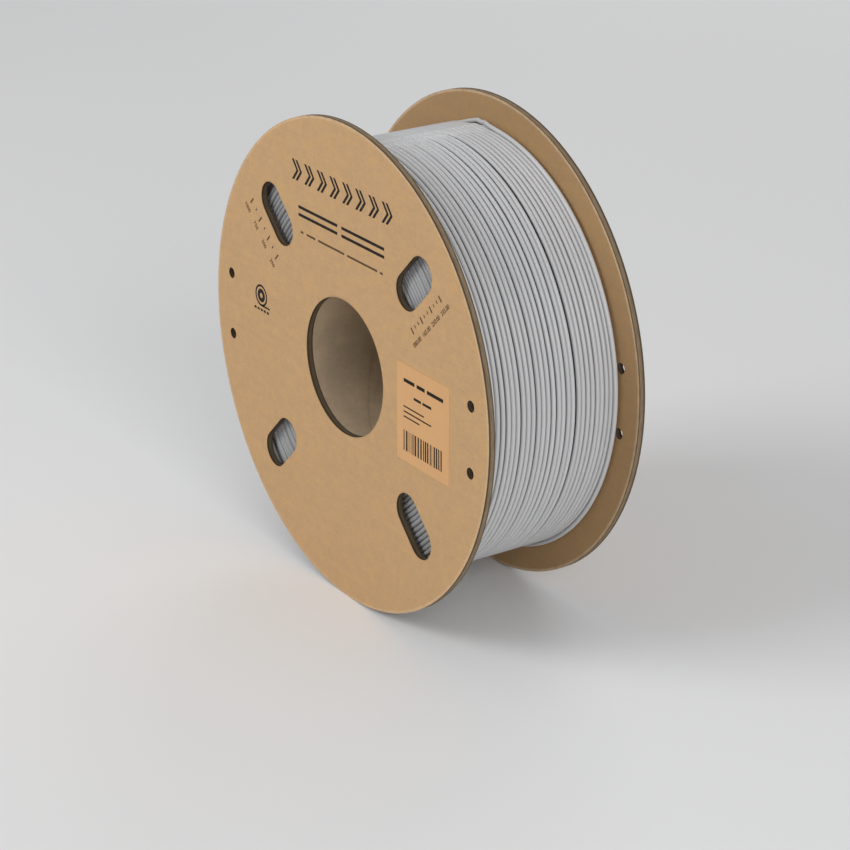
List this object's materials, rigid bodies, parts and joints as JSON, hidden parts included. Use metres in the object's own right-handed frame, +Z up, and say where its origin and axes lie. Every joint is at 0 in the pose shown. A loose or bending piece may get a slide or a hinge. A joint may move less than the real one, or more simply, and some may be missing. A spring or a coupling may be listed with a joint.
{
  "type": "filament spool",
  "caption": "Full cardboard spool of grey 3D printing filament: two windowed board flanges glued to paper tubes, with a round bore, a paper label and the wound filament.",
  "frame": {"origin": "on the spool's axis, midway between the two flanges", "axes": "+Y along the spool's axis, from the printed front flange to the back flange; +Z up with the front flange's printing upright; +X to the right as the front flange is read"},
  "size_m": [0.2, 0.0753, 0.2],
  "materials": {
    "kraft_paper": "matte",
    "grey_board": "matte",
    "tube_board": "matte",
    "label_paper": "satin",
    "filament": "semi-gloss"
  },
  "bodies": {
    "root": {"front_inner_paper": "kraft_paper", "front_face_paper": "kraft_paper", "back_inner_paper": "kraft_paper", "back_face_paper": "kraft_paper", "front_inner_board": "grey_board", "front_outer_board": "grey_board", "back_inner_board": "grey_board", "back_outer_board": "grey_board", "hub_tube": "tube_board", "drum_tube": "tube_board", "filament_winding": "filament", "filament_end": "filament", "spool_label": "label_paper"}
  },
  "joints": []
}
